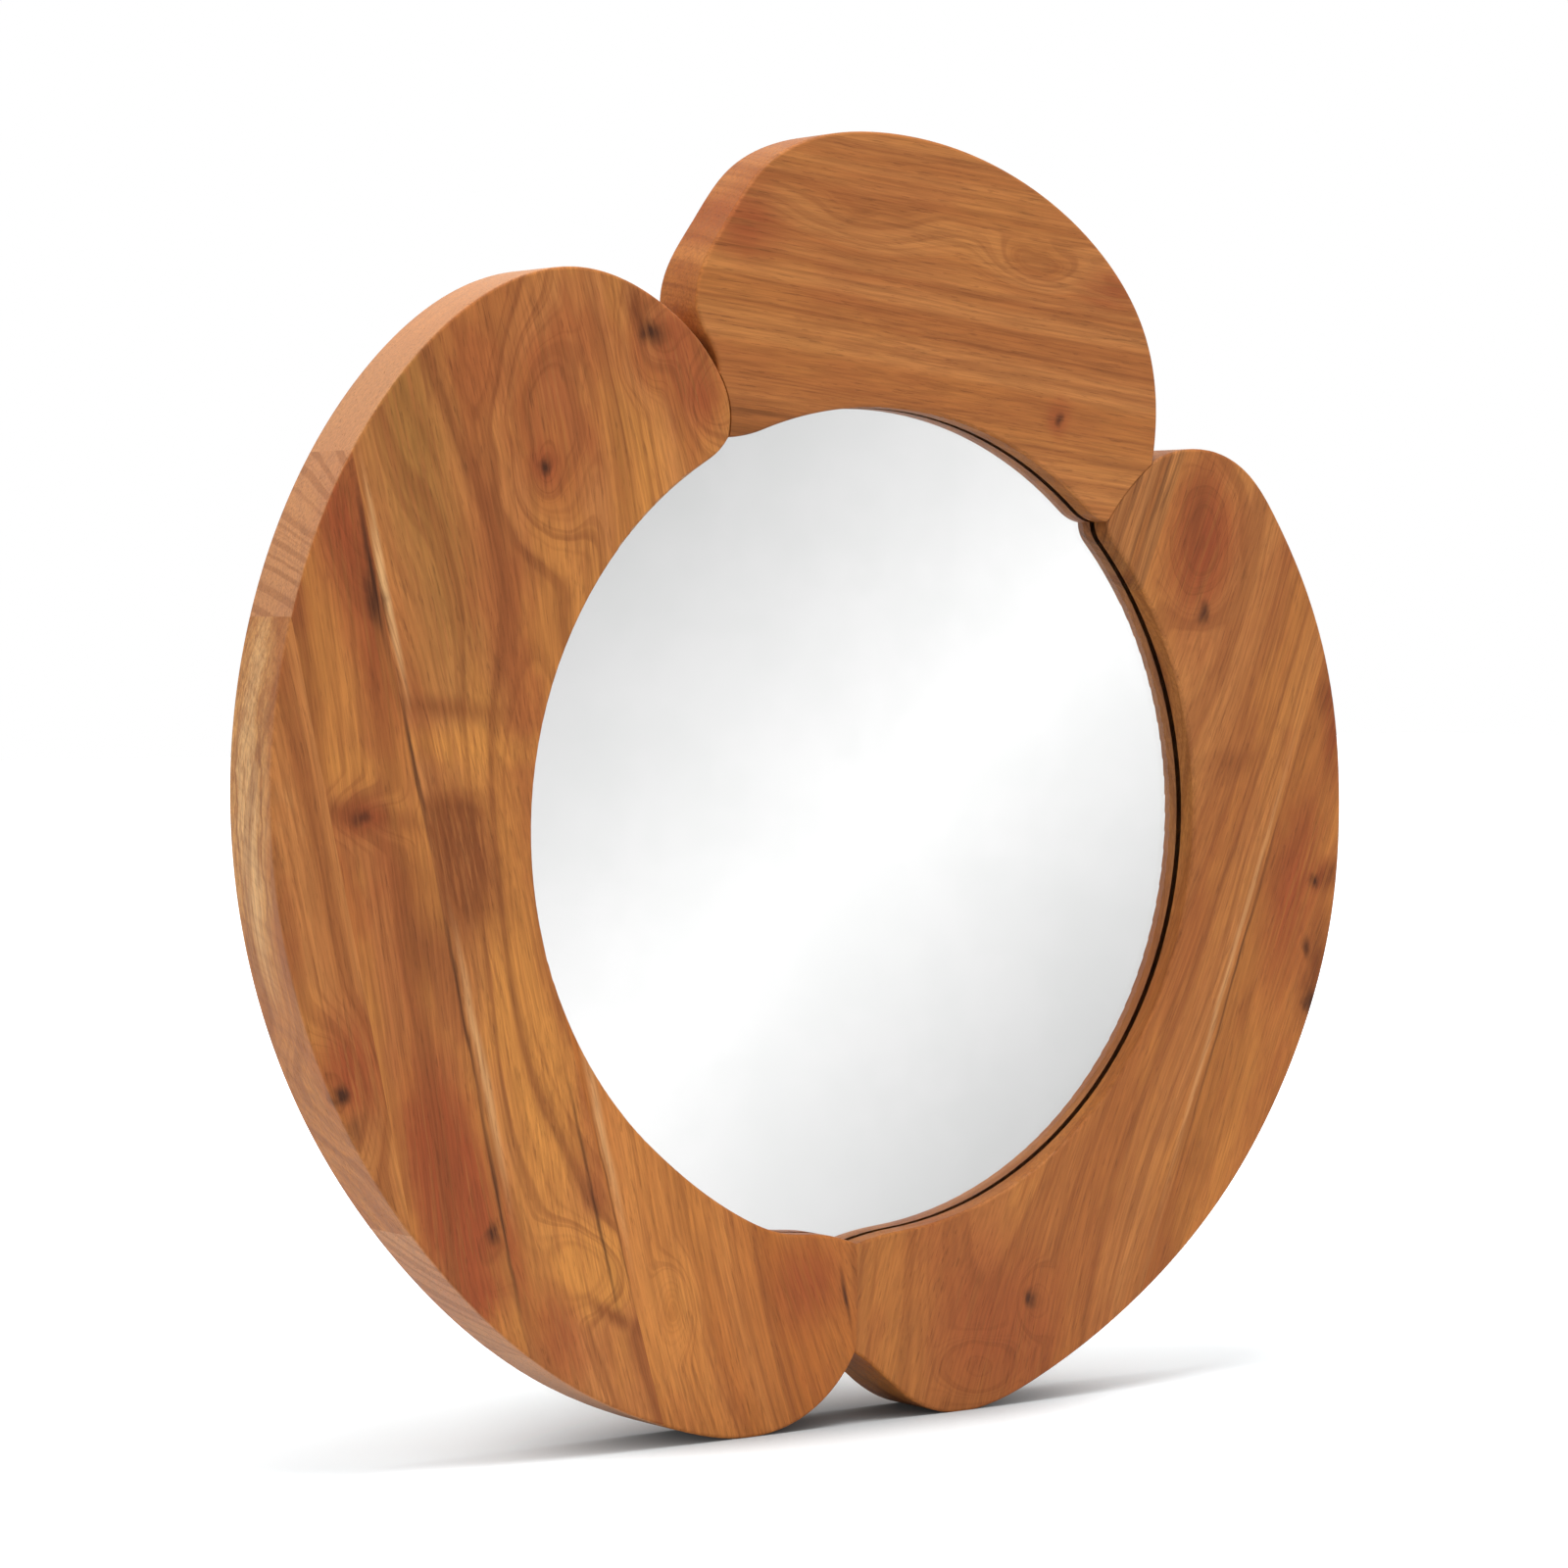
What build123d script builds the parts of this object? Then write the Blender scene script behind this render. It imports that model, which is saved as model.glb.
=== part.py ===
from build123d import *
from math import cos, radians, sin
import os

# Round mirror in a free-form frame of thick solid teak, built up from three curved petals.
# Every piece is drawn as it lies on the bench, show face up: the wood's front is the plane
# z = 0, depth runs down into -z, and the centre of the round opening is x = 0, y = 0.
# The finished mirror is stood upright at the end, facing -Y.
# All sizes are in millimetres and degrees.

# Opening, glass and what lies behind it, from the front backwards
opening_radius = 250.0
lip_depth = 13.0
glass_thickness = 4.0
silvering_thickness = 0.2
pad_thickness = 2.8
backing_thickness = 6.0
glass_overlap = 12.0
glass_gap = 1.5
glass_arris = 0.5
backing_ledge = 9.0
backing_gap = 0.5

# Wooden petals
side_petal_thickness = 48.0
top_petal_thickness = 40.0
front_rounding = 2.0
back_rounding = 2.0
foot_flat_depth = 0.3

# Joints between the petals: each is a corner a little outside the opening's circle,
# a point halfway along the joint and the notch in the outline, as (angle, band), where
# band is the distance outside the opening's edge
corner_notch = 5.2
top_left_joint = [(115.9, corner_notch), (114.1, 20.6), (113.9, 43.1)]
top_right_joint = [(45.9, corner_notch), (46.3, 32.1), (45.8, 58.6)]
bottom_joint = [(266.3, corner_notch), (266.5, 37.8), (266.7, 71.5)]

# Where each petal's inner edge leaves the circle, to round off towards a joint's corner
left_nose_top = 120.0
left_nose_bottom = 229.0
top_nose_left = 110.0
top_nose_right = 49.5
right_nose_top = 43.0
right_nose_bottom = 274.0
left_nose_swell = [(246.6, 3.9), (254.0, 4.6), (261.5, 1.3)]

# Outer edges of the petals between their joints, as (angle, band), counter-clockwise
top_outline = [
    (47.1, 68.8), (51.3, 97.0), (55.8, 118.6), (62.7, 138.6), (72.4, 154.6), (82.3, 163.2),
    (89.8, 165.3), (97.3, 161.6), (102.3, 150.2), (107.4, 125.1), (112.7, 96.3), (113.9, 80.0),
    (113.6, 62.0),
]
left_outline = [
    (114.6, 60.6), (115.9, 79.0), (118.9, 109.4), (123.1, 138.0), (130.0, 161.8), (139.7, 174.3),
    (150.0, 177.8), (168.0, 175.0), (185.0, 168.0), (202.0, 158.5), (219.0, 148.5),
    (236.0, 141.5), (247.0, 135.0), (255.1, 127.3), (261.0, 110.5), (264.8, 88.9),
]
right_outline = [
    (269.9, 84.0), (273.2, 101.1), (277.7, 117.1), (282.3, 122.3), (289.5, 121.0),
    (303.1, 118.3), (319.7, 120.3), (334.6, 122.6), (348.3, 125.3), (1.7, 125.2),
    (12.0, 125.7), (22.7, 123.2), (30.3, 120.0), (36.3, 115.1), (40.5, 102.0), (43.6, 83.0), (45.1, 69.0),
]

# Straight glue lines between the boards of a petal, as two (angle, band) points each
left_edge_seam = [(163.1, 176.4), (213.8, 149.4)]
left_outer_seam = [(149.4, 178.7), (228.9, 137.7)]
left_inner_seam = [(200.5, -1.0), (219.4, 21.0)]
top_strip_seam = [(114.3, 24.7), (98.4, -3.8)]
right_upper_seam = [(34.2, -0.4), (43.4, 83.6)]
right_outer_seam = [(15.5, 124.6), (304.6, 115.9)]

# Dowels across the joints, as (distance along the joint from the opening, depth), and
# across the wider glue lines, as distances along the line from its first point
dowel_radius = 4.0
dowel_chamfer = 0.8
dowel_gap = 0.1
dowel_end_gap = 1.0
joint_dowel_length = 50.0
seam_dowel_length = 40.0
edge_dowel_length = 30.0
seam_dowel_depth = 24.0
top_left_dowels = [(18.5, 10.0), (31.0, 27.0)]
top_right_dowels = [(28.0, 22.0), (42.0, 22.0)]
bottom_dowels = [(30.0, 24.0), (49.0, 24.0)]
left_edge_dowels = [115.0, 190.0, 265.0]
left_outer_dowels = [90.0, 205.0, 320.0, 435.0]
left_inner_dowels = [150.0, 210.0]
right_outer_dowels = [80.0, 170.0, 260.0, 350.0]

# Packers under the glass and foam pads behind it
packer_angles = [240.0, 300.0]
packer_length = 30.0
pad_count = 8
pad_edge_gap = 17.0
pad_length = 40.0
pad_width = 18.0

# Screws of the backing board
backing_screw_count = 12
backing_screw_start = 5.0
backing_screw_length = 15.0
backing_screw_radius = 1.5
backing_screw_head_radius = 3.0
backing_screw_head_height = 1.8
screw_gap = 0.1

# Hangers on the back: a folded strap whose knuckle holds a D-shaped ring
hanger_middle = -20.0
hanger_spacing = 580.0
hanger_height = 165.0
strap_sheet = 1.2
strap_width = 14.0
strap_length = 48.0
strap_end_rounding = 4.0
strap_hole_radius = 2.1
hanger_screw_places = [14.0, 36.0]
hanger_screw_length = 22.0
hanger_screw_radius = 1.9
hanger_screw_head_radius = 3.6
hanger_screw_head_height = 2.2
ring_wire_radius = 1.75
ring_width = 28.0
ring_leg = 6.0
ring_corner_radius = 4.0
ring_play = 0.1
ring_rest_tilt = 4.0

# Rubber bumpers that keep the lower part off the wall
bumper_spacing = 600.0
bumper_height = 6.5
bumper_radius = 6.0
bumper_rounding = 1.2
bumper_level = -165.0

# Drawing aid: how far the cutting blocks reach past the wood
beyond = 60.0

# Depths and radii that follow from the sizes above
glass_radius = opening_radius + glass_overlap
glass_pocket_radius = glass_radius + glass_gap
backing_pocket_radius = glass_pocket_radius + backing_ledge
backing_radius = backing_pocket_radius - backing_gap
silvering_depth = lip_depth + glass_thickness
pad_depth = silvering_depth + silvering_thickness
ledge_depth = pad_depth + pad_thickness
backing_back = ledge_depth + backing_thickness
pad_circle_radius = glass_radius - pad_edge_gap - pad_width / 2
backing_screw_circle = glass_pocket_radius + backing_ledge / 2
knuckle_bore = ring_wire_radius + ring_play
knuckle_radius = knuckle_bore + strap_sheet
knuckle_height = knuckle_radius
strap_thickness = 2 * strap_sheet


def at(angle, band=0.0):
    """Point on the bench at an angle, a distance outside the opening's edge."""
    reach = opening_radius + band
    return Vector(reach * cos(radians(angle)), reach * sin(radians(angle)))


def between(points, share):
    """Point on the straight line through two (angle, band) points."""
    start = at(*points[0])
    return start + (at(*points[1]) - start) * share


def along(points):
    """Direction of the straight line through two (angle, band) points."""
    return (at(*points[1]) - at(*points[0])).normalized()


def leftward(direction):
    """Direction turned a quarter to the left."""
    return Vector(-direction.Y, direction.X)


def nose(circle_angle, corner, turn, swell=()):
    """Inner edge from the opening's circle to a joint's corner."""
    start = at(circle_angle)
    leaving = leftward(start.normalized()) * turn
    if not swell:
        return TangentArc(start, corner, tangent=leaving)
    points = [start] + [at(*point) for point in swell] + [corner]
    return Spline(points, tangents=(leaving, points[-1] - points[-2]))


def circle_arc(start_angle, end_angle):
    """Stretch of the opening's circle, counter-clockwise."""
    middle = start_angle + ((end_angle - start_angle) % 360) / 2
    return ThreePointArc(at(start_angle), at(middle), at(end_angle))


def is_on(edge, lines):
    """Whether an edge's middle lies on one of the lines, seen from the front."""
    middle = edge.position_at(0.5)
    flat = Vector(middle.X, middle.Y)
    return any(line.distance_to(flat) < 0.01 for line in lines)


def disc(radius, depth, thickness):
    """Round plate whose front lies at a depth."""
    return Pos(0, 0, -depth - thickness) * extrude(Circle(radius), amount=thickness)


def petal(first, last, inner_edges, outline, thickness):
    """Petal between two joints, counter-clockwise, with the stepped pocket for the glass."""
    outer = Spline([first @ 1] + [at(*point) for point in outline] + [last @ 1])
    wood = extrude(make_face([first, outer, last] + inner_edges), amount=thickness, dir=(0, 0, -1))
    for face_edges, rounding in ((-1, front_rounding), (0, back_rounding)):
        rim = wood.edges().group_by(Axis.Z)[face_edges]
        wood = fillet([edge for edge in rim if not is_on(edge, (first, last))], rounding)
    wood -= disc(glass_pocket_radius, lip_depth, thickness)
    return wood - disc(backing_pocket_radius, ledge_depth, thickness)


def beside(start, direction):
    """Block that covers everything to the left of a line, seen from the front."""
    reach = 4 * opening_radius
    base = Rectangle(2 * reach, reach, align=(Align.CENTER, Align.MIN))
    place = Plane(origin=(start.X, start.Y, reach / 2), x_dir=direction, z_dir=(0, 0, 1))
    return extrude(place * base, amount=-reach)


def rod(middle, direction, depth, radius, length):
    """Round rod lying at a depth, its middle and direction seen from the front."""
    place = Plane(origin=(middle.X, middle.Y, -depth), z_dir=direction)
    return place * Cylinder(radius, length)


def dowel(middle, direction, depth, length):
    """Dowel with chamfered ends."""
    plain = rod(middle, direction, depth, dowel_radius, length)
    return chamfer(plain.edges().filter_by(GeomType.CIRCLE), dowel_chamfer)


def dowel_hole(middle, direction, depth, length):
    """Hole that a dowel is glued into, from one piece on into the next."""
    return rod(middle, direction, depth, dowel_radius + dowel_gap, length + 2 * dowel_end_gap)


def joint_places(line, places):
    """Place of each dowel across a joint."""
    across = leftward((line @ 1 - line @ 0).normalized())
    middles = [line.position_at(reach, position_mode=PositionMode.LENGTH) for reach, _ in places]
    return [(m, across, depth, joint_dowel_length) for m, (_, depth) in zip(middles, places)]


def seam_places(seam, places, length):
    """Place of each dowel across a glue line."""
    start = at(*seam[0])
    across = leftward(along(seam))
    return [(start + along(seam) * reach, across, seam_dowel_depth, length) for reach in places]


def wood_screw(radius, length, head_radius, head_height):
    """Domed screw with a cross recess, driven upwards: its head's seat is z = 0."""
    point = 2.5 * radius
    profile = make_face([
        ThreePointArc((0, -head_height), (head_radius * 0.6, -head_height * 0.82), (head_radius, 0)),
        Line((head_radius, 0), (radius, 0)),
        Line((radius, 0), (radius, length - point)),
        Line((radius, length - point), (0, length)),
        Line((0, length), (0, -head_height)),
    ])
    screw = revolve(Plane.XZ * profile, Axis.Z)
    slot = Box(head_radius * 1.1, head_radius * 0.22, head_height)
    recess = Pos(0, 0, -head_height) * slot + Pos(0, 0, -head_height) * Rot(0, 0, 90) * slot
    return screw - recess


def screw_hole(radius, length):
    """Hole of a screw, from its head's seat upwards."""
    return extrude(Circle(radius + screw_gap), amount=length + screw_gap)


def on_back(x, y):
    """Spot on the back of the side petals: y runs down, z away from the wood."""
    return Plane(origin=(x, y, -side_petal_thickness), x_dir=(1, 0, 0), z_dir=(0, 0, -1)).location


# Petals
top_left = Spline([at(*point) for point in top_left_joint])
top_right = Spline([at(*point) for point in top_right_joint])
bottom = Spline([at(*point) for point in bottom_joint])
top_inner = [
    nose(top_nose_right, top_right @ 0, -1),
    circle_arc(top_nose_right, top_nose_left),
    nose(top_nose_left, top_left @ 0, 1),
]
left_inner = [
    nose(left_nose_top, top_left @ 0, -1),
    circle_arc(left_nose_top, left_nose_bottom),
    nose(left_nose_bottom, bottom @ 0, 1, left_nose_swell),
]
right_inner = [
    nose(right_nose_bottom, bottom @ 0, -1),
    circle_arc(right_nose_bottom, right_nose_top),
    nose(right_nose_top, top_right @ 0, 1),
]
top_petal = petal(top_right, top_left, top_inner, top_outline, top_petal_thickness)
left_petal = petal(top_left, bottom, left_inner, left_outline, side_petal_thickness)
right_petal = petal(bottom, top_right, right_inner, right_outline, side_petal_thickness)

# Both lower lobes are sanded flat at one level, so that the mirror stands on them
lobe_lows = [wood.bounding_box().min.Y for wood in (left_petal, right_petal)]
stand_level = max(lobe_lows) + foot_flat_depth
below = beside(Vector(0, stand_level), Vector(-1, 0))
left_petal -= below
right_petal -= below

# Boards, parted along the glue lines
edge_cut = beside(at(*left_edge_seam[0]), -along(left_edge_seam))
outer_cut = beside(at(*left_outer_seam[0]), -along(left_outer_seam))
inner_cut = beside(at(*left_inner_seam[0]), along(left_inner_seam))
inner_cut &= beside(at(*left_inner_seam[0]), -leftward(along(left_inner_seam)))
strip_cut = beside(at(*top_strip_seam[1]), -along(top_strip_seam))
strip_cut &= beside(at(*top_strip_seam[1]), leftward(along(top_strip_seam)))
upper_cut = beside(at(*right_upper_seam[0]), along(right_upper_seam))
upper_cut &= beside(at(*right_upper_seam[0]), -leftward(along(right_upper_seam)))
right_cut = beside(at(*right_outer_seam[0]), along(right_outer_seam))
boards = {
    "left_petal_edge_board": left_petal & edge_cut,
    "left_petal_outer_board": (left_petal & outer_cut) - edge_cut,
    "left_petal_main_board": left_petal - outer_cut - inner_cut,
    "left_petal_inner_board": left_petal & inner_cut,
    "top_petal_main_board": top_petal - strip_cut,
    "top_petal_lower_strip": top_petal & strip_cut,
    "right_petal_upper_board": right_petal & upper_cut,
    "right_petal_main_board": right_petal - upper_cut - right_cut,
    "right_petal_outer_board": right_petal & right_cut,
}

# Dowels and their holes
dowel_places = {
    "top_left_joint_dowels": joint_places(top_left, top_left_dowels),
    "top_right_joint_dowels": joint_places(top_right, top_right_dowels),
    "bottom_joint_dowels": joint_places(bottom, bottom_dowels),
    "left_petal_glue_dowels":
        seam_places(left_edge_seam, left_edge_dowels, edge_dowel_length)
        + seam_places(left_outer_seam, left_outer_dowels, seam_dowel_length)
        + seam_places(left_inner_seam, left_inner_dowels, seam_dowel_length),
    "right_petal_glue_dowels":
        seam_places(right_outer_seam, right_outer_dowels, seam_dowel_length),
}
holes = [dowel_hole(*place) for places in dowel_places.values() for place in places]
pieces = {}
for name, places in dowel_places.items():
    pieces[name] = Compound([dowel(*place) for place in places])

# Glass, its packers and pads, and the screwed backing board
glass = disc(glass_radius, lip_depth, glass_thickness)
pieces["mirror_glass"] = chamfer(glass.edges(), glass_arris)
pieces["mirror_silvering"] = disc(glass_radius - glass_arris, silvering_depth, silvering_thickness)
packer_ring = disc(glass_pocket_radius, lip_depth, glass_thickness)
packer_ring -= disc(glass_radius, lip_depth, glass_thickness)
packers = []
for angle in packer_angles:
    stretch = Box(4 * glass_gap + glass_overlap, packer_length, ledge_depth * 4)
    packers.append(packer_ring & (Rot(0, 0, angle) * Pos(glass_radius, 0, 0) * stretch))
pieces["glass_edge_packers"] = Compound(packers)
pad_turns = [Rot(0, 0, 360 * step / pad_count) for step in range(pad_count)]
pad = Pos(pad_circle_radius, 0, -pad_depth - pad_thickness / 2) * Box(pad_width, pad_length, pad_thickness)
pieces["glass_foam_pads"] = Compound([turn * pad for turn in pad_turns])
backing_screw = wood_screw(
    backing_screw_radius, backing_screw_length, backing_screw_head_radius, backing_screw_head_height)
backing_hole = screw_hole(backing_screw_radius, backing_screw_length)
backing_turns = [
    Rot(0, 0, backing_screw_start + 360 * step / backing_screw_count)
    for step in range(backing_screw_count)
]
backing_seat = Pos(backing_screw_circle, 0, -backing_back)
pieces["backing_board_screws"] = Compound([turn * backing_seat * backing_screw for turn in backing_turns])
backing_holes = [turn * backing_seat * backing_hole for turn in backing_turns]
pieces["backing_board"] = disc(backing_radius, ledge_depth, backing_thickness) - backing_holes
holes += backing_holes

# Hangers: strap, ring and screws, and the bumpers below
knuckle = Plane.YZ * Pos(0, knuckle_height)
strap_profile = Plane.YZ * (
    Pos(0, knuckle_height) * Circle(knuckle_radius)
    + Rectangle(strap_length, strap_thickness, align=(Align.MIN, Align.MIN)))
strap = extrude(strap_profile, amount=strap_width / 2, both=True)
strap -= extrude(knuckle * Circle(knuckle_bore), amount=strap_width, both=True)
for place in hanger_screw_places:
    strap -= Pos(0, place) * Cylinder(strap_hole_radius, 4 * strap_thickness)
strap = fillet(strap.edges().filter_by(Axis.Z).group_by(Axis.Y)[-1], strap_end_rounding)

ring_half = ring_width / 2
ring_side = ring_half - ring_corner_radius
ring_path = Wire([
    Line((-ring_side, 0), (ring_side, 0)),
    TangentArc((ring_side, 0), (ring_half, ring_corner_radius), tangent=(1, 0)),
    Line((ring_half, ring_corner_radius), (ring_half, ring_leg)),
    TangentArc((ring_half, ring_leg), (-ring_half, ring_leg), tangent=(0, 1)),
    Line((-ring_half, ring_leg), (-ring_half, ring_corner_radius)),
    TangentArc((-ring_half, ring_corner_radius), (-ring_side, 0), tangent=(0, -1)),
])
ring = sweep(Plane.YZ * Circle(ring_wire_radius), path=ring_path)
ring = Pos(0, 0, knuckle_height) * Rot(ring_rest_tilt, 0, 0) * ring
hanger_screw = wood_screw(
    hanger_screw_radius, hanger_screw_length, hanger_screw_head_radius, hanger_screw_head_height)
hanger_hole = screw_hole(hanger_screw_radius, hanger_screw_length)
bumper = extrude(Circle(bumper_radius), amount=bumper_height)
bumper = fillet(bumper.edges().group_by(Axis.Z)[-1], bumper_rounding)
for side, turn in (("left", -1), ("right", 1)):
    hanger_x = hanger_middle + turn * hanger_spacing / 2
    bumper_x = hanger_middle + turn * bumper_spacing / 2
    seats = [
        Pos(hanger_x, hanger_height - place, -side_petal_thickness - strap_thickness)
        for place in hanger_screw_places
    ]
    pieces[f"{side}_hanger_strap"] = on_back(hanger_x, hanger_height) * strap
    pieces[f"{side}_hanger_ring"] = on_back(hanger_x, hanger_height) * ring
    pieces[f"{side}_hanger_screws"] = Compound([seat * hanger_screw for seat in seats])
    pieces[f"{side}_wall_bumper"] = on_back(bumper_x, bumper_level) * bumper
    holes += [seat * hanger_hole for seat in seats]

for name, board in boards.items():
    pieces[name] = board - holes

# Upright, facing -Y, with the origin in the middle of the base of its bounding box
os.makedirs("parts", exist_ok=True)
upright = {name: Plane.XZ.location * piece for name, piece in pieces.items()}
whole = Compound(list(upright.values())).bounding_box()
to_base = Pos(-whole.center().X, -whole.center().Y, -whole.min.Z)
for name, piece in upright.items():
    export_step(to_base * piece, f"parts/{name}.step")
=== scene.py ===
import math

import bpy
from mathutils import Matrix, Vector


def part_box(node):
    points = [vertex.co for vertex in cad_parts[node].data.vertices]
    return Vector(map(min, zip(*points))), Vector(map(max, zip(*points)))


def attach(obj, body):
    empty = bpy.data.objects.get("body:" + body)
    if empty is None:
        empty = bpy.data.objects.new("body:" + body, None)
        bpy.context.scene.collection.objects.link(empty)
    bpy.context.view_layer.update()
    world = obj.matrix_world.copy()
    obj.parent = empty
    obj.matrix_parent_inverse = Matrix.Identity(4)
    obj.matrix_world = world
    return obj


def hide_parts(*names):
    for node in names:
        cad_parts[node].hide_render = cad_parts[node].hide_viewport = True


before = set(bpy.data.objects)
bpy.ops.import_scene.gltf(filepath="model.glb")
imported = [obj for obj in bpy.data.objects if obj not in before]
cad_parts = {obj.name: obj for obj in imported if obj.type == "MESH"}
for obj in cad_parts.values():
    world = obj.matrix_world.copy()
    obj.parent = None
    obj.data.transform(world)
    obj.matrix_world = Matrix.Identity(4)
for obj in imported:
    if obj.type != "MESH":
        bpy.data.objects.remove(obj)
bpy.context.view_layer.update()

# Places are given in opening radii from the opening's centre: x to the right, z up,
# and y back from the front face of the wood. Angles are in degrees.
RADIUS = 0.25
glass_low, glass_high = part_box("mirror_glass")
wood_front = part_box("left_petal_main_board")[0][1]
CENTRE = ((glass_low[0] + glass_high[0]) / 2, wood_front, (glass_low[2] + glass_high[2]) / 2)

# Linear colours
PALE = (0.60, 0.29, 0.095, 1)
CREAM = (0.70, 0.40, 0.17, 1)
GOLD = (0.55, 0.215, 0.044, 1)
OLIVE = (0.31, 0.130, 0.028, 1)
RED = (0.29, 0.062, 0.017, 1)
DARK = (0.060, 0.018, 0.006, 1)
LIGHT = (0.46, 0.172, 0.046, 1)
MAIN = (0.355, 0.114, 0.027, 1)
LINE = (0.19, 0.050, 0.012, 1)
# Tan of the paler sawn sides: partly sanded wood, partly painted light
SIDE_TAN_AND_LIGHT = (0.56, 0.27, 0.13, 1)

# Light and main tone of the boards
MIDDLE_TONES = LIGHT, MAIN
STRIP_TONES = MAIN, (0.25, 0.080, 0.018, 1)
LEFT_OUTER_TONES = (0.40, 0.134, 0.036, 1), (0.30, 0.090, 0.021, 1)
LEFT_MAIN_TONES = (0.51, 0.194, 0.054, 1), (0.40, 0.132, 0.032, 1)
LEFT_INNER_TONES = (0.52, 0.188, 0.044, 1), (0.40, 0.124, 0.023, 1)
RIGHT_UPPER_TONES = (0.40, 0.150, 0.042, 1), (0.30, 0.098, 0.024, 1)
RIGHT_OUTER_TONES = (0.44, 0.150, 0.034, 1), (0.34, 0.098, 0.020, 1)

# Height of the bumps in all materials, in metres
BUMP_DISTANCE = 0.0006

# Grain of the petals: degrees from upright, with the top to the left below zero
LEFT_LEAN = -12.6
RIGHT_LEAN = 20.9

# Marks narrower than NARROW lie over the growth rings and wider ones under them.
# A mark more than SLIM times as long as wide is a line, and its edge strays less.
NARROW = 0.045
SLIM = 4

# How close the broad bands and the fine lines lie, against the growth rings' lines
BAND_RATE = 0.30
FINE_RATE = 3.6

# How strong dark threads and pores show on every board, and how strong the clouds,
# the streaks and the fine lines show against a board's mottle or its figure
THREAD_SHARE = 0.26
PORE_SHARE = 0.26
GOLD_SHARE = 1.3
RED_SHARE = 0.9
STREAK_SHARE = 0.35
FINE_SHARE = 0.7

# Arcs on the sawn sides: how close they lie and how far depth bends them
ARC_RATE = 34.0
ARC_BEND = -0.5


class Nodes:
    """Short ways to add the nodes of one material."""

    def __init__(self, name, world=False):
        store = bpy.data.worlds if world else bpy.data.materials
        self.owner = store.new(name)
        self.owner.use_nodes = True
        self.tree = self.owner.node_tree
        self.tree.nodes.clear()

    def add(self, kind, inputs=None, **settings):
        """Add a node with its settings, then link or fill its inputs."""
        node = self.tree.nodes.new("ShaderNode" + kind)
        for key, value in settings.items():
            setattr(node, key, value)
        for key, value in (inputs or {}).items():
            if isinstance(value, bpy.types.NodeSocket):
                self.tree.links.new(value, node.inputs[key])
            else:
                node.inputs[key].default_value = value
        return node

    def math(self, operation, *values, clamp=False):
        inputs = dict(enumerate(values))
        return self.add("Math", inputs, operation=operation, use_clamp=clamp).outputs[0]

    def vector(self, operation, *values):
        return self.add("VectorMath", dict(enumerate(values)), operation=operation).outputs[0]

    def span(self, value, low, high, start=0.0, end=1.0):
        """From start at low to end at high, with both ends eased."""
        inputs = {0: value, 1: low, 2: high, 3: start, 4: end}
        return self.add("MapRange", inputs, interpolation_type="SMOOTHSTEP").outputs[0]

    def mix(self, share, first, second, way="MIX"):
        inputs = {0: share, 6: first, 7: second}
        return self.add("Mix", inputs, data_type="RGBA", blend_type=way).outputs[2]

    def noise(self, vector, scale, detail=2.0, rough=0.5, colour=False):
        inputs = {"Vector": vector, "Scale": scale, "Detail": detail, "Roughness": rough}
        return self.add("TexNoise", inputs).outputs[1 if colour else 0]

    def stripes(self, value, scale, detail=2.0, rough=0.5):
        inputs = {"W": value, "Scale": scale, "Detail": detail, "Roughness": rough}
        return self.add("TexNoise", inputs, noise_dimensions="1D").outputs[0]

    def turned(self, vector, lean, scale=(1, 1, 1)):
        """The same place, turned so that the grain runs along Z, and then scaled."""
        sizes = tuple(1 / size for size in scale)
        inputs = {"Vector": vector, "Rotation": (0, math.radians(lean), 0), "Scale": sizes}
        return self.add("Mapping", inputs, vector_type="TEXTURE").outputs[0]

    def place(self):
        """Place on the object, in opening radii from the opening's centre."""
        own = self.add("TexCoord").outputs["Object"]
        from_centre = self.vector("SUBTRACT", own, CENTRE)
        inputs = {0: from_centre, "Scale": 1 / RADIUS}
        return self.add("VectorMath", inputs, operation="SCALE").outputs[0]

    def spot(self, vector, x, z, wide, tall, lean, y=0.1, deep=4.0, core=0.0):
        """One in the middle of an oval, falling to nothing at its edge."""
        inputs = {
            "Vector": vector,
            "Location": (x, y, z),
            "Rotation": (0, math.radians(lean), 0),
            "Scale": (wide, deep, tall),
        }
        moved = self.add("Mapping", inputs, vector_type="TEXTURE").outputs[0]
        reach = self.add("VectorMath", {0: moved}, operation="LENGTH").outputs["Value"]
        return self.span(reach, core, 1.0, 1.0, 0.0)

    def seen(self):
        """One for rays that show the surroundings: straight, mirrored or through glass."""
        kinds = self.add("LightPath").outputs
        bounced = self.math("MAXIMUM", kinds["Is Glossy Ray"], kinds["Is Transmission Ray"])
        return self.math("MAXIMUM", kinds["Is Camera Ray"], bounced)

    def surface(self, colour, roughness, height=None, strength=0.2, **more):
        """Principled surface with an optional bump, wired to the output."""
        inputs = {"Base Color": colour, "Roughness": roughness, **more}
        if height is not None:
            relief = {"Height": height, "Strength": strength, "Distance": BUMP_DISTANCE}
            inputs["Normal"] = self.add("Bump", relief).outputs[0]
        shader = self.add("BsdfPrincipled", inputs)
        self.add("OutputMaterial", {"Surface": shader.outputs[0]})
        return self.owner


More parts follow.
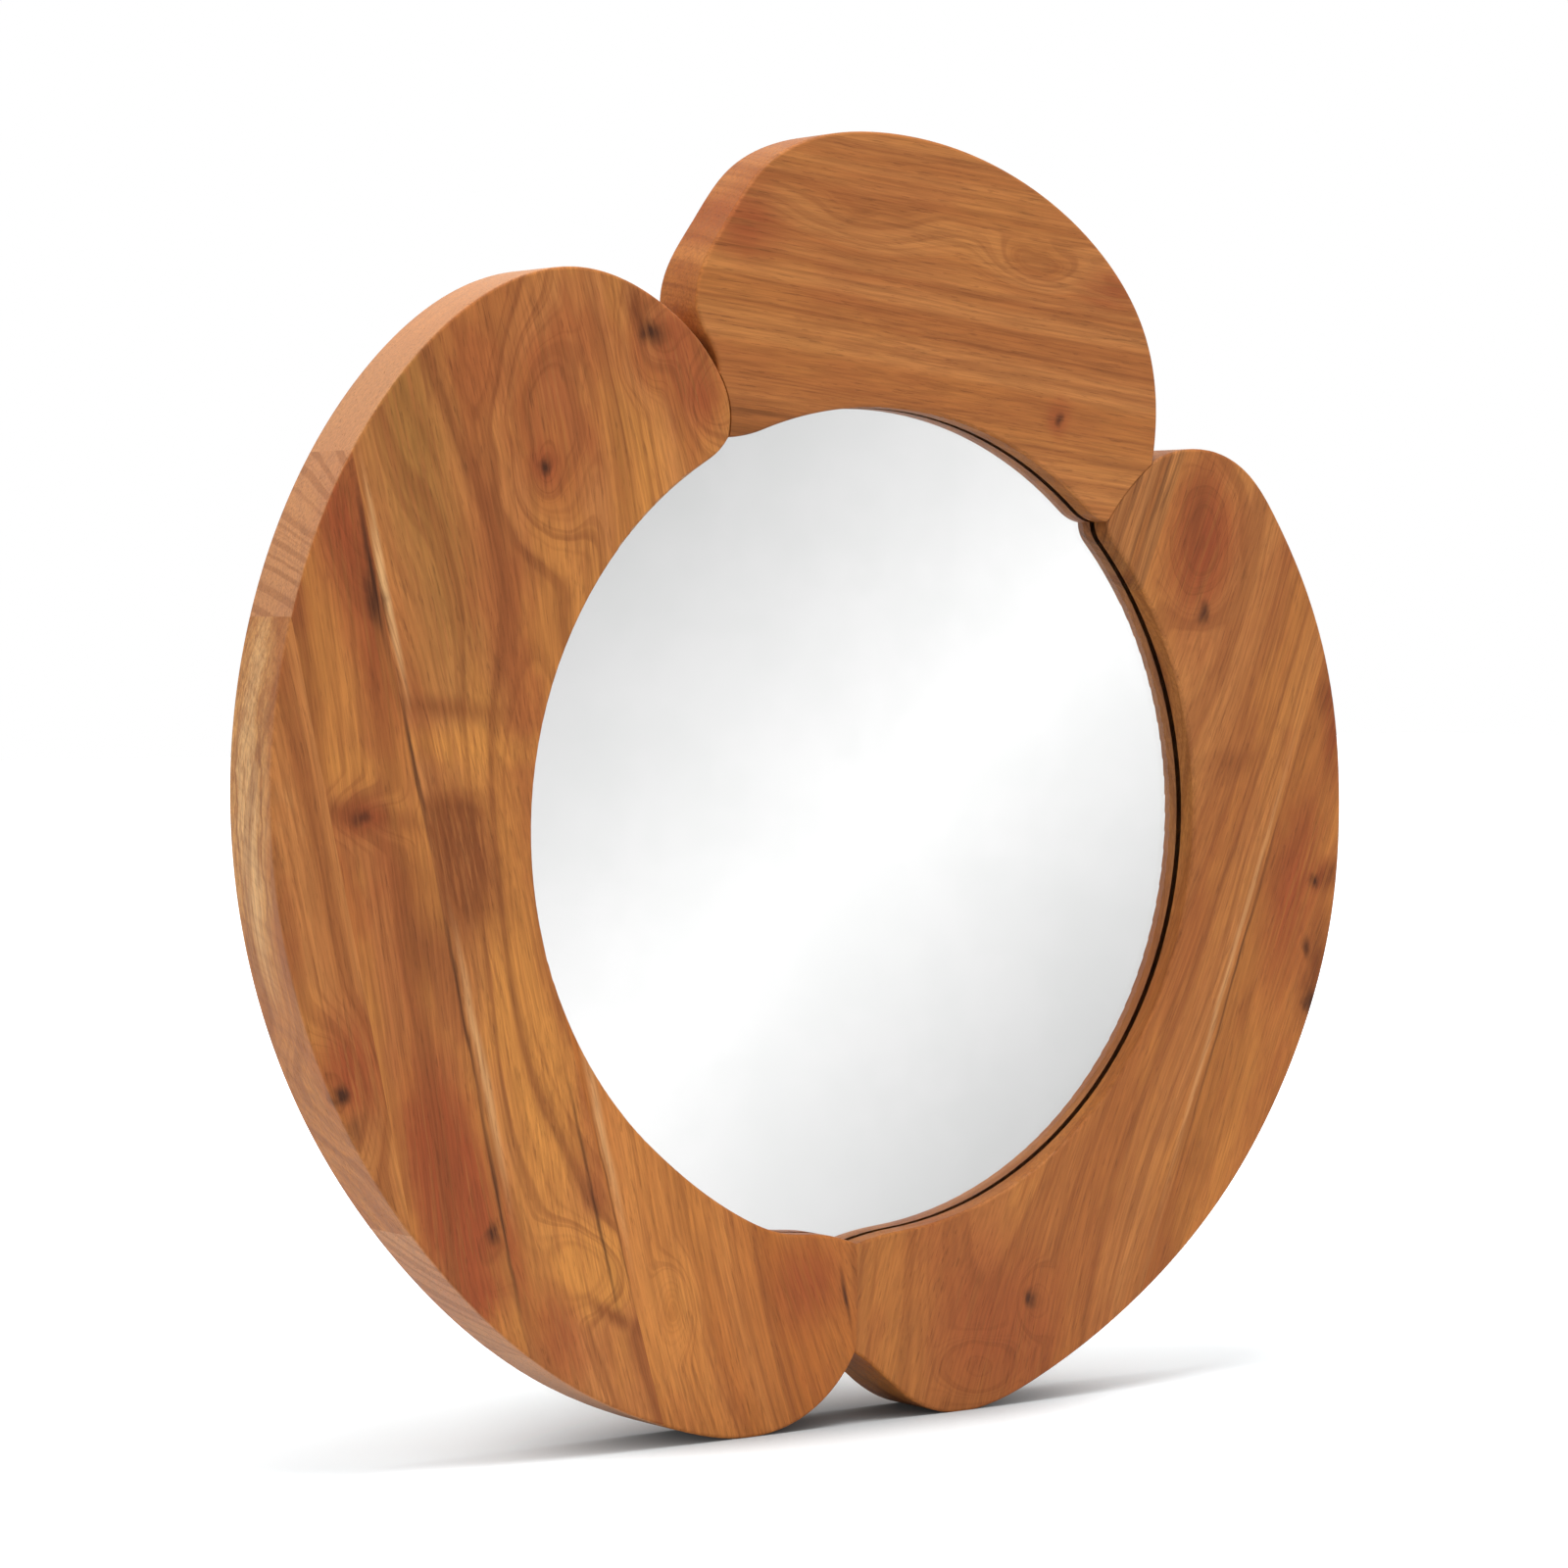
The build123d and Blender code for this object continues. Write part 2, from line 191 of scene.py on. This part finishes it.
def teak(name, lean, pith, tones, line, lines, bumps=(), spots=(), shift=0.0,
         figure=0.30, mottle=0.35, wander=0.10, side=0.0, arcs=0.0):
    """Oiled teak: growth rings about a pith, with swirls, knots, streaks and fine pores.

    lean is the grain's angle from upright, pith the ring centre as (across, depth),
    line the rings' colour and lines how close they lie. bumps, which bend the rings, are
    (x, z, wide, tall, lean, height). spots are (x, z, wide, tall, lean, colour, share),
    and may end with their depth, how far they reach in depth and how much of them is at
    full strength. shift moves the grain from board to board, figure is how strong the
    rings show, mottle how uneven the tone is, wander how much the grain strays, side how
    much paler the sawn sides are painted, partly for paler sanded wood and partly as
    painted light, and arcs how strong the rings show across them.
    """
    n = Nodes(name)
    place = n.place()
    moved = n.vector("ADD", place, (shift, 0.0, shift))

    def wave(vector, scale, detail, reach):
        """Stray steps of at most about half of reach in all directions."""
        cloud = n.noise(vector, scale, detail, 0.5, colour=True)
        inputs = {0: n.vector("SUBTRACT", cloud, (0.5, 0.5, 0.5)), "Scale": reach}
        return n.add("VectorMath", inputs, operation="SCALE").outputs[0]

    def along(vector, fine, length, detail=3.0, rough=0.6):
        """Noise that is fine across the grain and length times longer along it."""
        return n.noise(n.turned(vector, lean, (fine, fine, fine / length)), 1.0, detail, rough)

    def tinted(colour, marks):
        """The colour with oval marks on it, ragged by the threads of the wood."""
        for x, z, wide, tall, turn, tint, share, *where in marks:
            slim = max(wide, tall) > SLIM * min(wide, tall)
            mask = n.spot(calm if slim else torn, x, z, wide, tall, turn, *where)
            ragged = n.span(thread, 0.0, 1.0, 1.2, 0.6)
            mask = n.math("MULTIPLY", n.math("MULTIPLY", mask, share), ragged, clamp=True)
            colour = n.mix(mask, colour, tint)
        return colour

    long_waves = n.turned(moved, lean, (1.5, 1.5, 0.5))
    short_waves = n.turned(moved, lean, (5.0, 5.0, 1.0))
    slow = wave(long_waves, scale=1.0, detail=1.0, reach=wander * 3)
    quick = wave(short_waves, scale=1.0, detail=2.0, reach=wander * 0.25)
    bent = n.vector("ADD", n.vector("ADD", place, slow), quick)
    board = n.add("SeparateXYZ", {0: n.turned(bent, lean)}).outputs
    across = n.math("SUBTRACT", board[0], pith[0])
    depth = n.math("SUBTRACT", board[1], pith[1])
    squares = [n.math("MULTIPLY", length, length) for length in (across, depth)]
    ring = n.math("SQRT", n.math("ADD", *squares))
    torn = n.vector("ADD", place, wave(bent, scale=9.0, detail=5.0, reach=0.08))
    calm = n.vector("ADD", place, wave(bent, scale=6.0, detail=2.0, reach=0.016))
    rolled = n.vector("ADD", place, wave(bent, scale=5.0, detail=2.0, reach=0.05))
    for *oval, rise in bumps:
        ring = n.math("ADD", ring, n.math("MULTIPLY", n.spot(rolled, *oval), rise))

    # Growth rings, long streaks, fibres and pores
    broad = n.span(n.stripes(ring, lines * BAND_RATE, detail=2.0, rough=0.6), 0.34, 0.66)
    rings = n.span(n.stripes(ring, lines, detail=3.0, rough=0.6), 0.49, 0.66)
    thin = n.span(n.stripes(ring, lines * FINE_RATE, detail=2.0, rough=0.65), 0.50, 0.68)
    swept = n.vector("ADD", moved, n.vector("MULTIPLY", slow, (1.0, 1.0, 0.3)))
    streak = n.span(along(swept, fine=14.0, length=20.0, detail=5.0, rough=0.66), 0.42, 0.64)
    thread = n.span(along(bent, fine=84.0, length=34.0, rough=0.62), 0.46, 0.68)
    fibre = along(bent, fine=170.0, length=30.0)
    pores = n.span(along(bent, fine=210.0, length=14.0, detail=2.0), 0.59, 0.68)

    # Slow clouds of golden and of ruddy wood
    golden_place = n.turned(swept, lean, (3.4, 3.4, 1.2))
    ruddy_place = n.turned(swept, lean, (4.4, 4.4, 1.5))
    golden = n.span(n.noise(golden_place, 1.0, detail=4.0, rough=0.6), 0.46, 0.60)
    ruddy = n.span(n.noise(ruddy_place, 1.3, detail=4.0, rough=0.6), 0.50, 0.66)

    light, main = tones
    colour = n.mix(broad, main, light)
    colour = n.mix(n.math("MULTIPLY", golden, mottle * GOLD_SHARE), colour, GOLD)
    colour = n.mix(n.math("MULTIPLY", ruddy, mottle * RED_SHARE), colour, RED)
    colour = tinted(colour, [spot for spot in spots if min(spot[2:4]) >= NARROW])
    colour = n.mix(n.math("MULTIPLY", streak, mottle * STREAK_SHARE), colour, line)
    colour = n.mix(n.math("MULTIPLY", rings, figure), colour, line)
    colour = n.mix(n.math("MULTIPLY", thin, figure * FINE_SHARE), colour, line)
    colour = n.mix(n.math("MULTIPLY", thread, THREAD_SHARE), colour, line)

    # Sawn sides: the object normal's Y tells them from the front and the back
    facing = n.add("SeparateXYZ", {0: n.add("TexCoord").outputs["Normal"]}).outputs[1]
    # The sawn sides are painted paler toward a tan: partly paler sanded wood and partly painted light,
    # given only to the left petal's boards, whose sides face the side lamp.
    sawn = n.span(n.math("ABSOLUTE", facing), 0.35, 0.85, 1.0, 0.0)
    colour = n.mix(n.math("MULTIPLY", sawn, side), colour, SIDE_TAN_AND_LIGHT)
    bent_parts = n.add("SeparateXYZ", {0: bent}).outputs
    bow = n.math("MULTIPLY_ADD", bent_parts[1], ARC_BEND, bent_parts[2])
    arc = n.span(n.stripes(bow, ARC_RATE, detail=2.0, rough=0.6), 0.46, 0.60, 0.0, arcs)
    colour = n.mix(n.math("MULTIPLY", sawn, arc), colour, line)
    colour = tinted(colour, [spot for spot in spots if min(spot[2:4]) < NARROW])
    colour = n.mix(n.math("MULTIPLY", pores, PORE_SHARE), colour, DARK)

    # Fibres lighten and darken the colour, and all fine parts shape gloss and height
    tone = n.span(fibre, 0.30, 0.70, 0.88, 1.16)
    shade = n.add("CombineColor", {0: tone, 1: tone, 2: tone}).outputs[0]
    colour = n.mix(1.0, colour, shade, "MULTIPLY")
    gloss = n.math("ADD", n.span(fibre, 0.2, 0.8, 0.40, 0.54), n.math("MULTIPLY", pores, 0.14))
    dips = n.math("ADD", n.math("MULTIPLY", pores, 0.8), n.math("MULTIPLY", thread, 0.25))
    height = n.math("SUBTRACT", n.math("MULTIPLY", fibre, 0.5), dips)
    oiled = {"IOR": 1.42, "Specular IOR Level": 0.2}
    return n.surface(colour, gloss, height, strength=0.22, **oiled)


def worked(name, colour, worn, grain, roughness, metallic=0.0, depth=0.15):
    """Made material: fine grain, slow tone changes and uneven gloss."""
    n = Nodes(name)
    place = n.place()
    fine = n.noise(place, grain, detail=4.0, rough=0.6)
    slow = n.noise(place, grain * 0.06, detail=2.0, rough=0.5)
    tone = n.mix(n.span(fine, 0.35, 0.7), colour, worn)
    tone = n.mix(n.math("MULTIPLY", n.span(slow, 0.4, 0.65), 0.35), tone, worn)
    gloss = n.span(slow, 0.3, 0.7, roughness - 0.08, roughness + 0.08)
    return n.surface(tone, gloss, fine, depth, **{"Metallic": metallic})


# Marks along the glued seams, for the boards on both sides of each
left_outer_seam = [
    (-1.392, 0.570, 0.016, 0.34, -12.4, CREAM, 0.70),
    (-1.140, -0.520, 0.018, 0.46, -12.8, CREAM, 0.45),
    (-1.416, 0.560, 0.012, 0.36, -12.4, DARK, 0.90),
    (-1.320, 0.180, 0.009, 0.30, -12.4, DARK, 0.75),
    (-1.195, -0.380, 0.009, 0.42, -12.4, DARK, 0.75),
    (-1.090, -0.860, 0.009, 0.42, -12.4, DARK, 0.75),
    (-1.415, 0.530, 0.034, 0.110, -12.0, DARK, 0.90),
]
left_inner_seam = [
    (-0.810, -0.700, 0.020, 0.40, -14.4, CREAM, 0.40),
    (-0.832, -0.860, 0.008, 0.50, -14.4, DARK, 0.70),
    (-0.780, -0.880, 0.005, 0.50, -14.4, DARK, 0.50),
]
right_outer_seam = [
    (1.115, -0.410, 0.014, 0.80, 20.9, CREAM, 0.32),
    (1.140, -0.410, 0.007, 0.84, 20.9, DARK, 0.60),
]

woods = {
    "left_petal_edge_board": teak(
        "teak_left_edge", LEFT_LEAN, pith=(-1.2, 0.55), tones=MIDDLE_TONES, line=LINE, lines=22,
        bumps=[(-1.50, -0.57, 0.16, 0.26, -10, 0.12)],
        spots=[
            (-1.60, 0.10, 0.300, 0.560, -6, PALE, 0.85, 0.12, 0.120, 0.6),
            (-1.62, 0.10, 0.300, 0.520, -6, CREAM, 0.80, 0.115, 0.050, 0.5),
            (-1.62, 0.06, 0.300, 0.500, -6, LINE, 0.70, 0.062, 0.009),
            (-1.62, 0.06, 0.300, 0.520, -6, LINE, 0.60, 0.155, 0.008),
            (-1.48, -0.52, 0.150, 0.240, -10, RED, 0.85, 0.0, 0.10),
            (-1.515, -0.571, 0.038, 0.045, 0, DARK, 0.95, 0.0, 0.05),
            (-1.47, -0.66, 0.050, 0.060, 20, DARK, 0.45, 0.0, 0.05),
        ], shift=1.3, figure=0.36, mottle=0.40, side=0.12, arcs=0.14),
    "left_petal_outer_board": teak(
        "teak_left_outer", LEFT_LEAN, pith=(-1.55, 0.6), tones=LEFT_OUTER_TONES, line=LINE, lines=24,
        bumps=[
            (-1.47, 0.72, 0.14, 0.26, -12, 0.10),
            (-1.456, 0.05, 0.20, 0.10, 8, 0.05),
            (-1.14, -0.95, 0.10, 0.18, -12, 0.04),
        ],
        spots=left_outer_seam + [
            (-1.50, 0.70, 0.130, 0.320, -11, RED, 0.85, 0.0, 0.07),
            (-1.45, 0.60, 0.050, 0.160, -11, LINE, 0.70),
            (-1.456, 0.05, 0.240, 0.050, 8, LINE, 0.70),
            (-1.456, 0.05, 0.080, 0.070, 0, RED, 0.80),
            (-1.47, 0.16, 0.190, 0.070, 5, GOLD, 0.45),
            (-1.456, 0.05, 0.030, 0.026, 0, DARK, 0.70),
            (-1.42, 0.42, 0.110, 0.420, -12, RED, 0.72),
            (-1.28, -0.24, 0.110, 0.300, -13, LINE, 0.55),
            (-1.22, -0.80, 0.160, 0.460, -14, RED, 0.90, 0.1, 4.0, 0.3),
            (-1.112, -0.91, 0.030, 0.042, 0, DARK, 0.90),
            (-1.145, -1.06, 0.090, 0.130, -20, RED, 0.85),
        ], shift=2.1, figure=0.38, mottle=0.45, side=0.62, arcs=0.34),
    "left_petal_main_board": teak(
        "teak_left_main", LEFT_LEAN, pith=(-0.95, 0.75), tones=LEFT_MAIN_TONES, line=LINE, lines=25,
        bumps=[
            (-0.97, 0.94, 0.19, 0.42, -6, 0.12),
            (-0.96, 0.83, 0.06, 0.09, -6, 0.04),
            (-0.66, 1.14, 0.14, 0.18, 10, 0.10),
            (-0.52, 1.00, 0.12, 0.16, 0, 0.08),
            (-0.83, -1.02, 0.24, 0.14, 35, 0.045),
        ],
        spots=left_outer_seam + left_inner_seam + [
            (-1.33, 0.90, 0.200, 0.620, -13, OLIVE, 0.80),
            (-1.22, 0.46, 0.160, 0.420, -13, OLIVE, 0.50),
            (-0.955, 0.95, 0.160, 0.340, -6, RED, 0.55, 0.1, 4.0, 0.3),
            (-0.880, 1.36, 0.300, 0.110, -12, GOLD, 0.50),
            (-0.962, 0.838, 0.070, 0.090, -6, RED, 0.80),
            (-0.962, 0.838, 0.026, 0.036, -6, DARK, 0.85),
            (-0.72, 0.86, 0.120, 0.360, -18, GOLD, 0.85),
            (-0.79, 0.50, 0.080, 0.300, -14, GOLD, 0.55),
            (-0.60, 1.14, 0.240, 0.220, -30, RED, 0.72),
            (-0.53, 1.00, 0.130, 0.180, 0, RED, 0.75),
            (-0.70, 1.20, 0.040, 0.150, -35, LINE, 0.80),
            (-0.666, 1.157, 0.036, 0.055, -20, DARK, 0.92),
            (-1.060, -0.95, 0.060, 0.300, -14, RED, 0.70),
            (-1.175, 0.20, 0.300, 0.065, 6, GOLD, 0.85),
            (-1.225, 0.29, 0.220, 0.045, 6, LINE, 0.55),
            (-1.200, 0.07, 0.160, 0.060, 6, LINE, 0.65),
            (-1.190, -0.06, 0.130, 0.240, -13, LINE, 0.75, 0.1, 4.0, 0.4),
            (-1.100, -0.24, 0.140, 0.200, -13, LINE, 0.40),
            (-1.010, -0.50, 0.150, 0.460, -14, GOLD, 1.00, 0.1, 4.0, 0.3),
            (-0.827, -1.02, 0.200, 0.160, 20, GOLD, 1.00, 0.1, 4.0, 0.3),
            (-0.930, -1.16, 0.100, 0.220, -20, RED, 0.60),
            (-0.780, -1.13, 0.140, 0.030, 30, LINE, 0.70),
        ], figure=0.44, mottle=0.50, side=0.72),
    "left_petal_inner_board": teak(
        "teak_left_inner", -16, pith=(-0.45, 0.8), tones=LEFT_INNER_TONES, line=LINE, lines=25,
        bumps=[(-0.60, -1.12, 0.09, 0.18, -5, 0.06)],
        spots=left_inner_seam + [
            (-0.218, -1.105, 0.170, 0.180, 0, RED, 0.70),
            (-0.107, -1.145, 0.010, 0.115, -12, DARK, 0.80),
            (-0.593, -1.12, 0.060, 0.090, -5, GOLD, 0.50),
        ], shift=3.7, figure=0.36, mottle=0.30),
    "top_petal_main_board": teak(
        "teak_top_main", 96, pith=(1.15, 0.7), tones=MIDDLE_TONES, line=LINE, lines=24,
        bumps=[
            (0.49, 1.35, 0.26, 0.10, 6, 0.10),
            (0.74, 1.31, 0.16, 0.09, 6, 0.08),
            (-0.05, 1.42, 0.34, 0.12, 6, 0.06),
        ],
        spots=[
            (-0.39, 1.43, 0.180, 0.150, 0, RED, 0.65),
            (0.74, 1.31, 0.160, 0.080, 6, RED, 0.60),
            (0.55, 0.99, 0.060, 0.070, 0, RED, 0.60),
            (0.557, 0.99, 0.018, 0.024, 0, DARK, 0.80),
        ], shift=5.2, figure=0.30, mottle=0.16, wander=0.04),
    "top_petal_lower_strip": teak(
        "teak_top_strip", 95, pith=(0.9, 0.6), tones=STRIP_TONES, line=DARK, lines=30,
        shift=6.4),
    "right_petal_upper_board": teak(
        "teak_right_upper", RIGHT_LEAN, pith=(0.1, 0.2), tones=RIGHT_UPPER_TONES, line=DARK, lines=48,
        shift=7.7, figure=0.36, mottle=0.15),
    "right_petal_main_board": teak(
        "teak_right_main", RIGHT_LEAN, pith=(0.75, 0.65), tones=MIDDLE_TONES, line=LINE, lines=25,
        bumps=[
            (1.03, 0.68, 0.17, 0.28, 8, 0.16),
            (0.30, -1.35, 0.18, 0.12, 0, 0.08),
            (0.47, -1.20, 0.10, 0.12, 0, 0.06),
        ],
        spots=right_outer_seam + [
            (1.02, 0.68, 0.210, 0.380, 8, RED, 0.90),
            (1.00, 0.72, 0.060, 0.260, 10, LINE, 0.50),
            (0.35, -1.25, 0.460, 0.320, 50, RED, 0.60),
            (1.03, 0.50, 0.034, 0.046, 0, DARK, 0.80),
            (1.12, 0.12, 0.150, 0.060, -14, LINE, 0.40),
            (0.47, -1.20, 0.030, 0.034, 0, DARK, 0.85),
        ], shift=8.9, figure=0.36, mottle=0.28),
    "right_petal_outer_board": teak(
        "teak_right_outer", RIGHT_LEAN, pith=(1.45, 0.6), tones=RIGHT_OUTER_TONES, line=LINE, lines=25,
        spots=right_outer_seam + [
            (1.460, 0.300, 0.060, 0.100, 4, LINE, 0.80),
            (1.475, 0.200, 0.060, 0.260, 2, RED, 0.85),
            (1.440, -0.183, 0.080, 0.070, 0, LINE, 0.85),
            (1.409, -0.183, 0.024, 0.034, 0, DARK, 0.85),
            (1.410, -0.430, 0.070, 0.240, 10, LINE, 0.85),
            (1.400, -0.509, 0.034, 0.060, 8, DARK, 0.85),
            (1.380, -0.360, 0.026, 0.036, 0, DARK, 0.70),
            (1.34, -0.20, 0.140, 0.520, 16, RED, 0.80),
        ], shift=10.3),
}

beech = worked("beech", (0.60, 0.42, 0.25, 1), (0.50, 0.33, 0.18, 1), grain=60, roughness=0.6)
fibreboard = worked("fibreboard", (0.21, 0.115, 0.055, 1), (0.27, 0.16, 0.085, 1),
                    grain=90, roughness=0.62)
zinc = worked("zinc_plate", (0.62, 0.61, 0.58, 1), (0.50, 0.49, 0.46, 1),
              grain=70, roughness=0.32, metallic=1.0, depth=0.08)
brass = worked("brass_plate", (0.66, 0.46, 0.18, 1), (0.52, 0.34, 0.13, 1),
               grain=55, roughness=0.30, metallic=1.0, depth=0.08)
rubber = worked("rubber", (0.012, 0.012, 0.012, 1), (0.026, 0.026, 0.026, 1),
                grain=120, roughness=0.68, depth=0.3)
foam = worked("foam", (0.045, 0.045, 0.048, 1), (0.018, 0.018, 0.02, 1),
              grain=160, roughness=0.9, depth=0.8)

n = Nodes("clear_glass")
smear = n.span(n.noise(n.place(), 5.0, detail=3.0, rough=0.6), 0.3, 0.7)
tint = n.mix(smear, (1.0, 1.0, 1.0, 1), (0.985, 0.988, 0.986, 1))
clear = n.surface(tint, roughness=0.0, **{"Transmission Weight": 1.0, "IOR": 1.5})

n = Nodes("silvering")
cloud = n.span(n.noise(n.place(), 3.0, detail=2.0, rough=0.5), 0.3, 0.7)
tint = n.mix(cloud, (0.945, 0.945, 0.945, 1), (0.93, 0.93, 0.93, 1))
silver = n.surface(tint, roughness=0.01, **{"Metallic": 1.0})

# One finish for each solid
finishes = dict(woods)
for joint in ("top_left_joint", "top_right_joint", "bottom_joint",
              "left_petal_glue", "right_petal_glue"):
    finishes[joint + "_dowels"] = beech
for side in ("left", "right"):
    finishes[side + "_hanger_strap"] = brass
    finishes[side + "_hanger_ring"] = brass
    finishes[side + "_hanger_screws"] = zinc
    finishes[side + "_wall_bumper"] = rubber
finishes["mirror_glass"] = clear
finishes["glass_edge_packers"] = rubber
finishes["glass_foam_pads"] = foam
finishes["backing_board"] = fibreboard
finishes["backing_board_screws"] = zinc
for node, finish in finishes.items():
    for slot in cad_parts[node].material_slots:
        slot.material = finish

# Silver film a hair behind the glass, in the place of the silvering's solid
FILM_GAP = 0.00005
RIM_STEPS = 192
film_low, film_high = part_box("mirror_silvering")
film_radius = (film_high[0] - film_low[0]) / 2
rim = []
for depth in (film_low[1] + FILM_GAP, film_high[1]):
    for step in range(RIM_STEPS):
        turn = math.tau * step / RIM_STEPS
        x = CENTRE[0] + film_radius * math.cos(turn)
        rim.append((x, depth, CENTRE[2] + film_radius * math.sin(turn)))
faces = [tuple(range(RIM_STEPS)), tuple(range(2 * RIM_STEPS - 1, RIM_STEPS - 1, -1))]
for step in range(RIM_STEPS):
    after = (step + 1) % RIM_STEPS
    faces.append((step, RIM_STEPS + step, RIM_STEPS + after, after))
mesh = bpy.data.meshes.new("silver_film")
mesh.from_pydata(rim, [], faces)
film = bpy.data.objects.new("silver_film", mesh)
bpy.context.scene.collection.objects.link(film)
mesh.materials.append(silver)
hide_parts("mirror_silvering")
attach(film, "frame")


# Studio: pale floor with a painted contact shadow and a painted glow, even light, and a card in front
# that only the glass sees.
# A painted glow lightens the floor, little beside the object and more farther off, which lightens the
# ends of the shadow and whitens the floor far away. A glow is two distances from the middle, in
# metres, and its strength at each.
FLOOR_HALF = 12
FLOOR_TONES = (0.885, 0.925, 0.945, 1), (0.895, 0.935, 0.955, 1)
FLOOR_GLOWS = (0.07, 0.24, 0.01, 0.30), (0.5, 1.6, 0.0, 0.6)
# Painted contact shadow: the floor's colour darkens where the object stands close above it, within a
# reach in metres and up to a share.
CONTACT_SHADOW_TONE = (0.05, 0.05, 0.05, 1)
CONTACT_SHADOW_REACH = 0.085
CONTACT_SHADOW_SHARE = 0.75

# The card is brightest along a line, and fades by a rate above it and another below
CARD_PLACE = (0.3877, -0.5, 0.3377)
CARD_SCALE = 0.30345
CARD_HALF = 6
CARD_LOW = -1.1
CARD_HIGH = 4
CARD_SLANT = {"x": -0.5965, "z": 0.803, "start": 0.033}
CARD_FADES = (0.37, -0.42)
CARD_DIMMEST = 0.35
CARD_STRENGTH = 1.15

# Light from all around: from behind, from the front, and what is added overhead
AIR_BACK = 0.12
AIR_FRONT = 0.98
AIR_ABOVE = 0.10
AIR_COLOUR = (0.995, 0.998, 1.0, 1)

# The camera stands off the opening's centre, tilted down and turned to the right
CAMERA_OFFSET = (-1.70552, -2.26070, 0.12423)
CAMERA_TILT = 2.05
CAMERA_TURN = 35.85
CAMERA_LENS = 107.62
CAMERA_SENSOR = 36


def flat_piece(name, corners):
    """One flat face that belongs to the studio and not to the object."""
    mesh = bpy.data.meshes.new(name)
    mesh.from_pydata(corners, [], [tuple(range(len(corners)))])
    piece = bpy.data.objects.new(name, mesh)
    bpy.context.scene.collection.objects.link(piece)
    return piece


quarters = ((-1, -1), (1, -1), (1, 1), (-1, 1))
floor = flat_piece("floor", [(x * FLOOR_HALF, y * FLOOR_HALF, 0) for x, y in quarters])
n = Nodes("floor_paint_with_painted_shadow")
ground = n.add("TexCoord").outputs["Object"]
tone = n.mix(n.noise(ground, 3.0, detail=2.0), *FLOOR_TONES)
# Painted contact shadow: ambient occlusion darkens the floor's colour under and beside the object.
openness = n.add("AmbientOcclusion", {"Distance": CONTACT_SHADOW_REACH}, samples=12).outputs["AO"]
tone = n.mix(n.span(openness, 0.25, 1.0, CONTACT_SHADOW_SHARE, 0.0), tone, CONTACT_SHADOW_TONE)
matt = n.add("BsdfDiffuse", {"Color": tone}).outputs[0]
apart = n.add("VectorMath", {0: ground}, operation="LENGTH").outputs["Value"]
# Painted light: the floor glows for seen rays, more the farther it lies from the middle.
floor_painted_light = n.math("ADD", *(n.span(apart, *glow) for glow in FLOOR_GLOWS))
floor_painted_light = n.math("MULTIPLY", floor_painted_light, n.seen())
glow = n.add("Emission", {"Color": (1, 1, 1, 1), "Strength": floor_painted_light}).outputs[0]
n.add("OutputMaterial", {"Surface": n.add("AddShader", {0: matt, 1: glow}).outputs[0]})
floor.data.materials.append(n.owner)

card = flat_piece("card", [
    (-CARD_HALF, 0, CARD_LOW),
    (CARD_HALF, 0, CARD_LOW),
    (CARD_HALF, 0, CARD_HIGH),
    (-CARD_HALF, 0, CARD_HIGH),
])
card.location = CARD_PLACE
card.scale = (CARD_SCALE, CARD_SCALE, CARD_SCALE)
n = Nodes("card_light")
spread = n.add("SeparateXYZ", {0: n.add("TexCoord").outputs["Object"]}).outputs
slant = n.math("MULTIPLY_ADD", spread[2], CARD_SLANT["z"], CARD_SLANT["start"])
slant = n.math("MULTIPLY_ADD", spread[0], CARD_SLANT["x"], slant)
fall = n.math("MAXIMUM", *(n.math("MULTIPLY", slant, fade) for fade in CARD_FADES))
level = n.math("MAXIMUM", n.math("SUBTRACT", 1.0, fall), CARD_DIMMEST)
grey = n.add("CombineColor", {0: level, 1: level, 2: level}).outputs[0]
glow = n.add("Emission", {"Color": grey, "Strength": CARD_STRENGTH}).outputs[0]
n.add("OutputMaterial", {"Surface": glow})
card.data.materials.append(n.owner)
card.visible_camera = False
card.visible_diffuse = False
card.visible_shadow = False
card.visible_volume_scatter = False

n = Nodes("studio_air", world=True)
sky = n.add("SeparateXYZ", {0: n.add("TexCoord").outputs["Generated"]}).outputs
front = n.span(sky[1], 1.0, -1.0, AIR_BACK, AIR_FRONT)
dome = n.math("MULTIPLY_ADD", n.span(sky[2], 0.0, 1.0), AIR_ABOVE, front)
lit = n.add("Background", {"Color": AIR_COLOUR, "Strength": dome}).outputs[0]
white = n.add("Background", {"Color": (1, 1, 1, 1), "Strength": 1.0}).outputs[0]
n.add("OutputWorld", {"Surface": n.add("MixShader", {0: n.seen(), 1: lit, 2: white}).outputs[0]})
bpy.context.scene.world = n.owner


def lamp(name, place, aim, size, power, colour):
    """Round area lamp, with its size in metres and its power in watts."""
    data = bpy.data.lights.new(name, "AREA")
    data.shape = "DISK"
    data.size = size
    data.energy = power
    data.color = colour
    piece = bpy.data.objects.new(name, data)
    piece.location = place
    piece.rotation_euler = (Vector(aim) - Vector(place)).to_track_quat("-Z", "Y").to_euler()
    bpy.context.scene.collection.objects.link(piece)


lamp("key", place=(-0.10, -0.40, 3.0), aim=(0, 0, 0),
     size=1.3, power=56, colour=(1.0, 0.997, 0.99))
lamp("side", place=(-3.0, 0.4, 1.4), aim=(0, 0, 0.35),
     size=1.6, power=14, colour=(1.0, 0.99, 0.98))

# Camera
lens = bpy.data.cameras.new("camera")
lens.sensor_width = CAMERA_SENSOR
lens.lens = CAMERA_LENS
camera = bpy.data.objects.new("camera", lens)
camera.location = [centre + offset for centre, offset in zip(CENTRE, CAMERA_OFFSET)]
camera.rotation_euler = (math.radians(90 - CAMERA_TILT), 0, math.radians(-CAMERA_TURN))
bpy.context.scene.collection.objects.link(camera)
bpy.context.scene.camera = camera
bpy.context.scene.view_settings.view_transform = "Standard"
